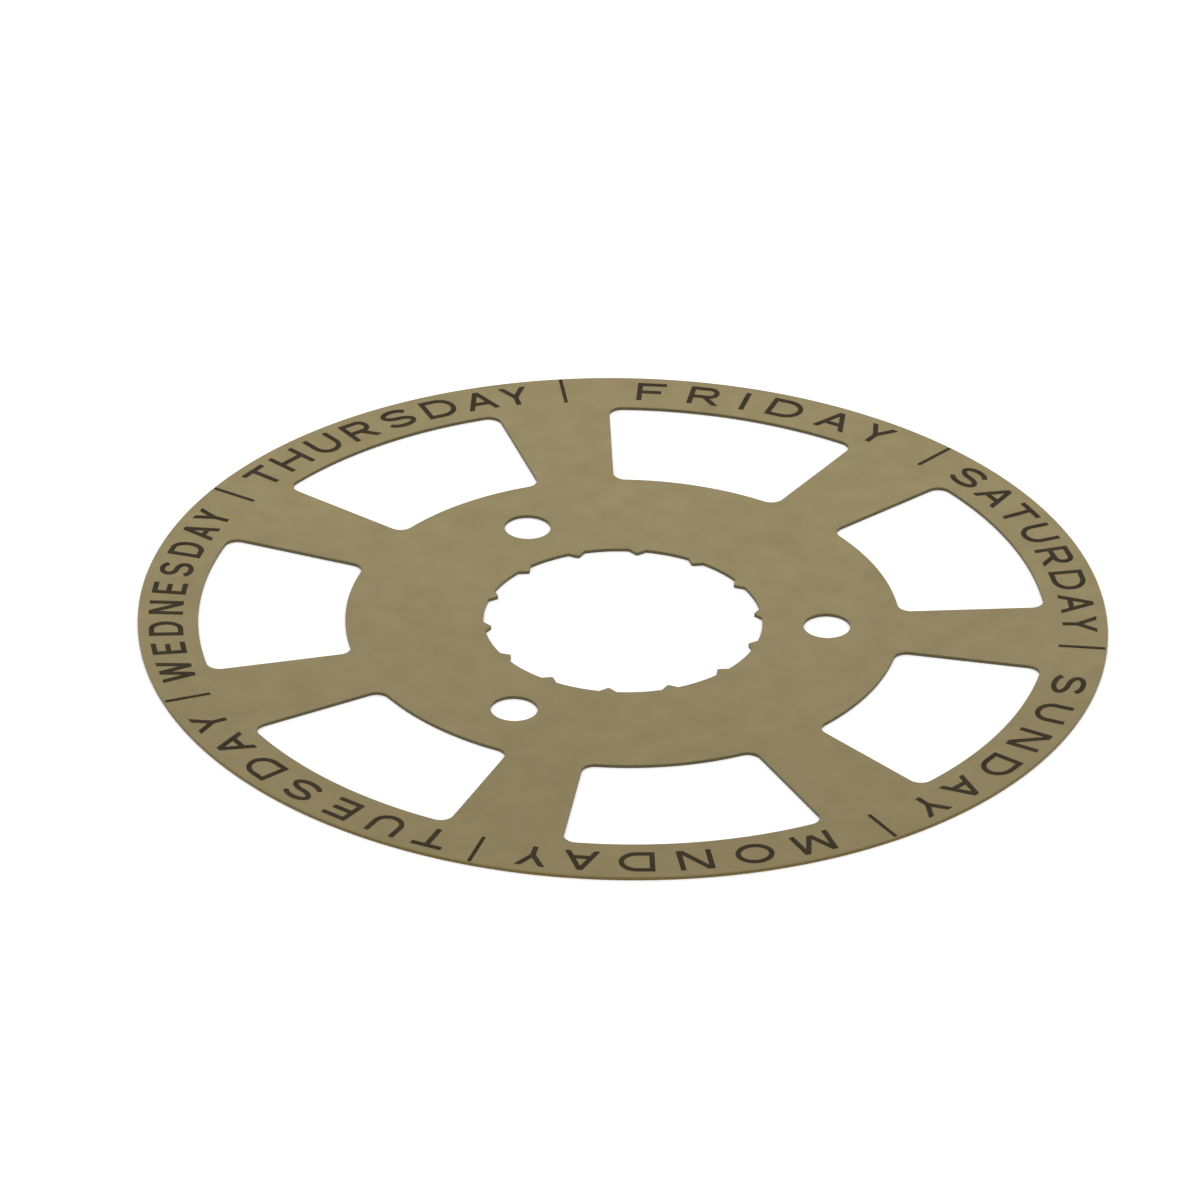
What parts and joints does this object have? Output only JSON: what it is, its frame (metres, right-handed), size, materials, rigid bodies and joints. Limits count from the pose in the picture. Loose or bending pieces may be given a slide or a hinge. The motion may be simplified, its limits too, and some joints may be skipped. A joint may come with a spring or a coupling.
{
  "type": "calendar day disc",
  "caption": "Thin flat sheet-metal disc with a toothed hub hole, rivet holes, a ring of windows and the names of the week printed round its rim.",
  "frame": {"origin": "centre of the disc on its plain underside", "axes": "+Z through the disc towards its printed side; +X from the centre through the first rivet hole"},
  "size_m": [0.026, 0.026, 0.0001],
  "materials": {
    "brass": "satin, khaki-champagne, very even and matt",
    "ink": "pad-printed ink, dark brown-black, slightly satin"
  },
  "bodies": {
    "root": {"disc_plate": "brass", "sunday_name": "ink", "monday_name": "ink", "tuesday_name": "ink", "wednesday_name": "ink", "thursday_name": "ink", "friday_name": "ink", "saturday_name": "ink", "sunday_mark": "ink", "monday_mark": "ink", "tuesday_mark": "ink", "wednesday_mark": "ink", "thursday_mark": "ink", "friday_mark": "ink", "saturday_mark": "ink"}
  },
  "joints": []
}
